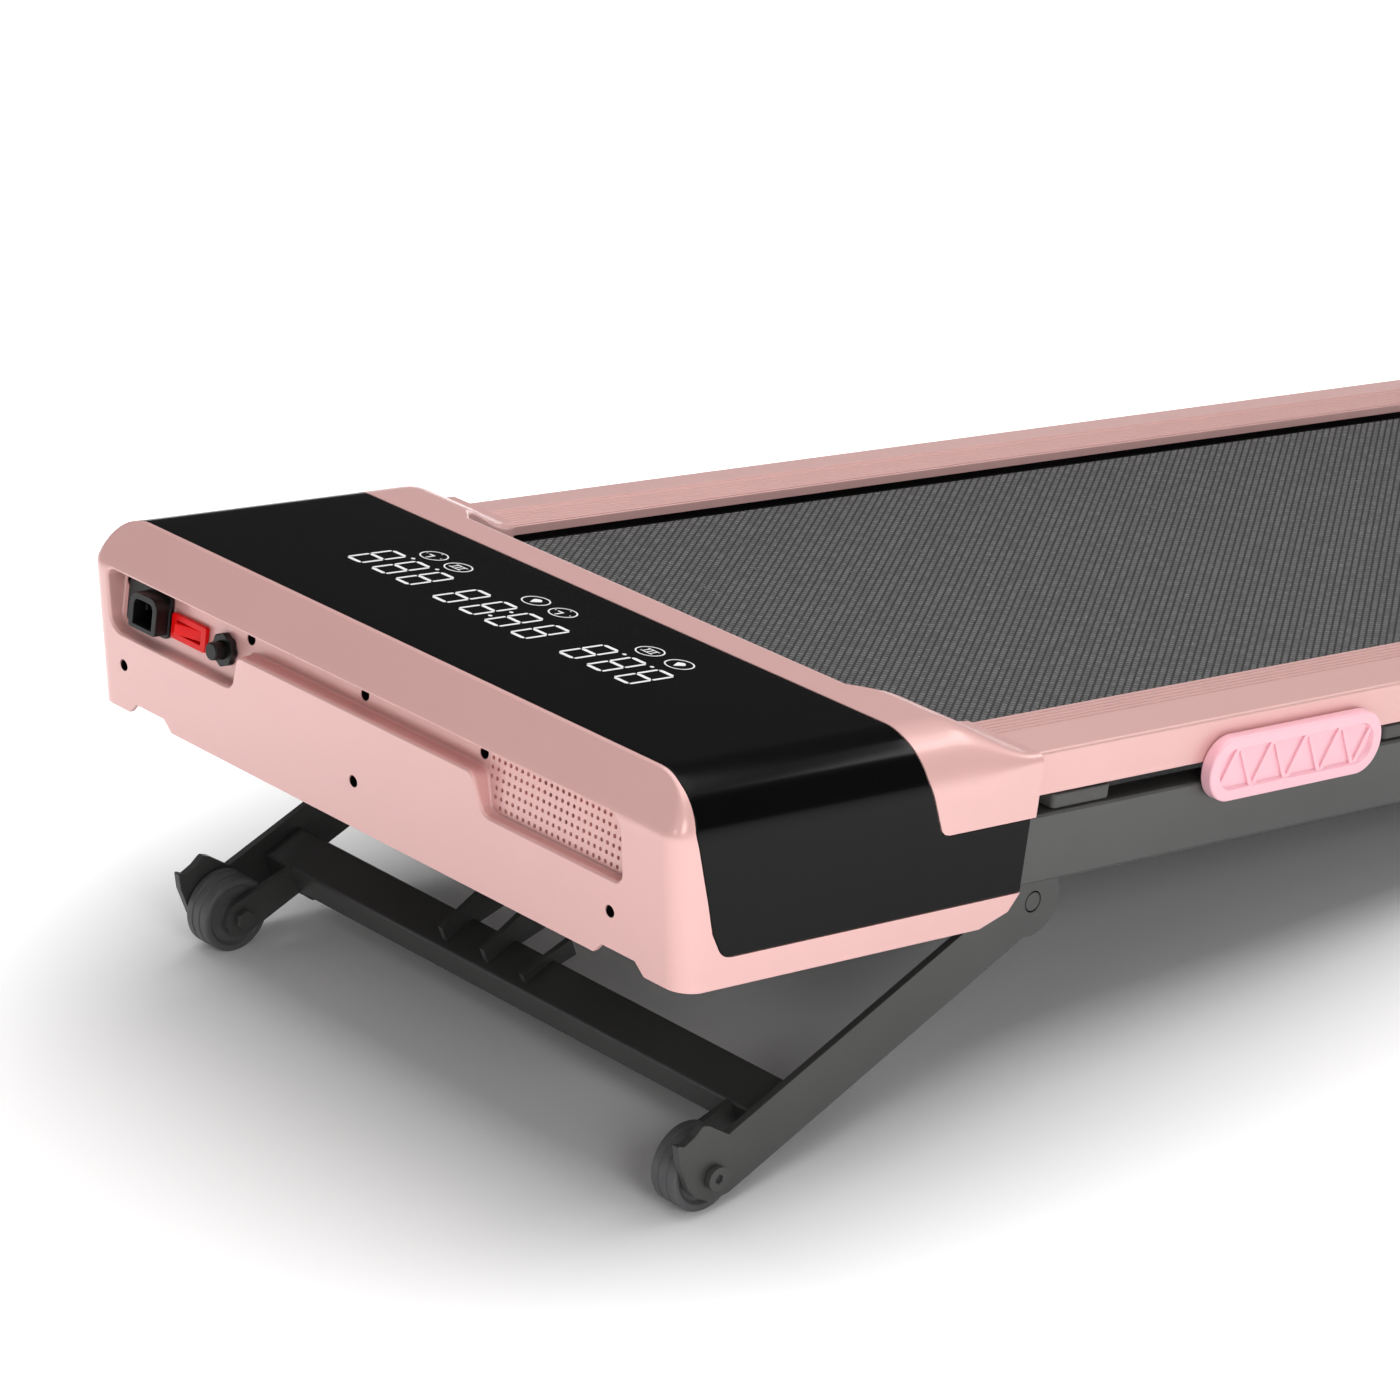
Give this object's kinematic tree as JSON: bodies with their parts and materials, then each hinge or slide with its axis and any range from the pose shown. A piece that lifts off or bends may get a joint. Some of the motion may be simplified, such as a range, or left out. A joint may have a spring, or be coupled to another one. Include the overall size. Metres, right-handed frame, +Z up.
{
  "type": "treadmill",
  "caption": "Low walking-pad treadmill with a motor hood at the front, side foot rails, a flat running belt and a fold-down lift leg on wheels.",
  "frame": {"origin": "on the floor, below the middle of the whole object's bounding box", "axes": "+X across the belt towards the walker's left, +Y from the motor hood to the tail, +Z up; the deck leans up towards the hood"},
  "size_m": [0.52, 1.2576, 0.2856],
  "materials": {
    "pink_shell": "satin painted ABS, rose pink",
    "pink_rail": "anodised rose pink, fine lengthwise grooves",
    "pink_badge": "glossy moulded plastic, light pink",
    "black_gloss": "high gloss black, smooth",
    "black_plastic": "fine moulded texture, black",
    "belt_fabric": "woven PVC with small raised dots, charcoal",
    "grey_steel": "dark grey powder coat",
    "zinc_steel": "zinc plated",
    "rubber": "moulded black rubber",
    "wheel_plastic": "dark grey nylon",
    "red_plastic": "translucent red rocker",
    "board_wood": "dark laminated fibreboard",
    "board_green": "green circuit board lacquer",
    "aluminium": "machined"
  },
  "bodies": {
    "deck": {"hood_base": "pink_shell", "hood_cover": "black_gloss", "rear_trim": "pink_shell", "belly_pan": "black_plastic", "display_board": "board_green", "vent_grille": "pink_shell", "power_inlet": "black_plastic", "switch_bezel": "red_plastic", "breaker_body": "black_plastic", "side_tube_left": "grey_steel", "side_tube_right": "grey_steel", "front_crossmember": "grey_steel", "mid_crossmember_front": "grey_steel", "mid_crossmember_rear": "grey_steel", "rear_crossmember": "grey_steel", "leg_pivot_pin_left": "zinc_steel", "leg_pivot_pin_right": "zinc_steel", "deck_cushion_1_left": "rubber", "deck_cushion_1_right": "rubber", "deck_cushion_2_left": "rubber", "deck_cushion_2_right": "rubber", "deck_cushion_3_left": "rubber", "deck_cushion_3_right": "rubber", "deck_cushion_4_left": "rubber", "deck_cushion_4_right": "rubber", "running_belt": "belt_fabric", "running_board": "board_wood", "foot_rail_left": "pink_rail", "foot_rail_right": "pink_rail", "front_roller_axle": "zinc_steel", "rear_roller_axle": "zinc_steel", "drive_motor": "black_plastic", "drive_belt": "rubber", "motor_controller": "aluminium", "side_badge_left": "pink_badge", "side_badge_right": "pink_badge", "end_cap_left": "pink_shell", "end_cap_right": "pink_shell", "tension_bolt_left": "zinc_steel", "tension_bolt_right": "zinc_steel", "lift_hanger": "grey_steel", "rear_foot_left": "rubber", "rear_foot_right": "rubber"},
    "leg": {"leg_arm_left": "grey_steel", "leg_arm_right": "grey_steel", "leg_crossbar": "grey_steel", "leg_foot_pad_left": "rubber", "leg_foot_pad_right": "rubber", "wheel_bolt_left": "zinc_steel", "wheel_bolt_right": "zinc_steel"},
    "wheel_left": {"leg_wheel_left": "wheel_plastic"},
    "wheel_right": {"leg_wheel_right": "wheel_plastic"},
    "front_roller": {"front_roller": "aluminium"},
    "rear_roller": {"rear_roller": "aluminium"},
    "motor_pulley": {"motor_pulley": "zinc_steel"},
    "switch_rocker": {"switch_rocker": "red_plastic"},
    "breaker_button": {"breaker_button": "black_plastic"},
    "lift_motor": {"lift_motor": "black_plastic"},
    "lift_rod": {"lift_rod": "zinc_steel"}
  },
  "joints": [
    {"name": "leg_fold", "type": "hinge", "parent": "deck", "child": "leg", "pos_m": [0, -0.31892, 0.11388], "axis": [1, 0, 0], "range_deg": [-32, 0]},
    {"name": "wheel_left_spin", "type": "hinge", "parent": "leg", "child": "wheel_left", "pos_m": [0.2115, -0.56715, 0.024], "axis": [1, 0, 0], "continuous": true},
    {"name": "wheel_right_spin", "type": "hinge", "parent": "leg", "child": "wheel_right", "pos_m": [-0.2115, -0.56715, 0.024], "axis": [1, 0, 0], "continuous": true},
    {"name": "front_roller_spin", "type": "hinge", "parent": "deck", "child": "front_roller", "pos_m": [0, -0.40052, 0.19884], "axis": [1, 0, 0], "continuous": true},
    {"name": "rear_roller_spin", "type": "hinge", "parent": "deck", "child": "rear_roller", "pos_m": [0, 0.57913, 0.05602], "axis": [1, 0, 0], "continuous": true},
    {"name": "motor_pulley_spin", "type": "hinge", "parent": "deck", "child": "motor_pulley", "pos_m": [-0.2145, -0.52652, 0.21489], "axis": [1, 0, 0], "continuous": true},
    {"name": "power_switch_rock", "type": "hinge", "parent": "deck", "child": "switch_rocker", "pos_m": [-0.17475, -0.61377, 0.23337], "axis": [0, 0.1443, 0.9895], "range_deg": [-12, 0]},
    {"name": "breaker_reset_press", "type": "slide", "parent": "deck", "child": "breaker_button", "axis": [0, 0.9895, -0.1443], "range_m": [0, 0.002], "stiffness_N_per_m": 400},
    {"name": "lift_motor_swing", "type": "hinge", "parent": "deck", "child": "lift_motor", "pos_m": [-0.037, -0.57546, 0.21192], "axis": [1, 0, 0], "range_deg": [-0.5, 22.55]},
    {"name": "lift_rod_travel", "type": "slide", "parent": "lift_motor", "child": "lift_rod", "axis": [0, 0.6871, -0.7265], "range_m": [-0.044, 0.001]}
  ],
  "couplings": [
    {"joint": "rear_roller_spin", "follows": "front_roller_spin", "ratio": 1},
    {"joint": "motor_pulley_spin", "follows": "front_roller_spin", "ratio": 1.8571},
    {"joint": "lift_motor_swing", "follows": "leg_fold", "ratio": -0.68916},
    {"joint": "lift_rod_travel", "follows": "leg_fold", "m_per_rad": 0.076992}
  ]
}
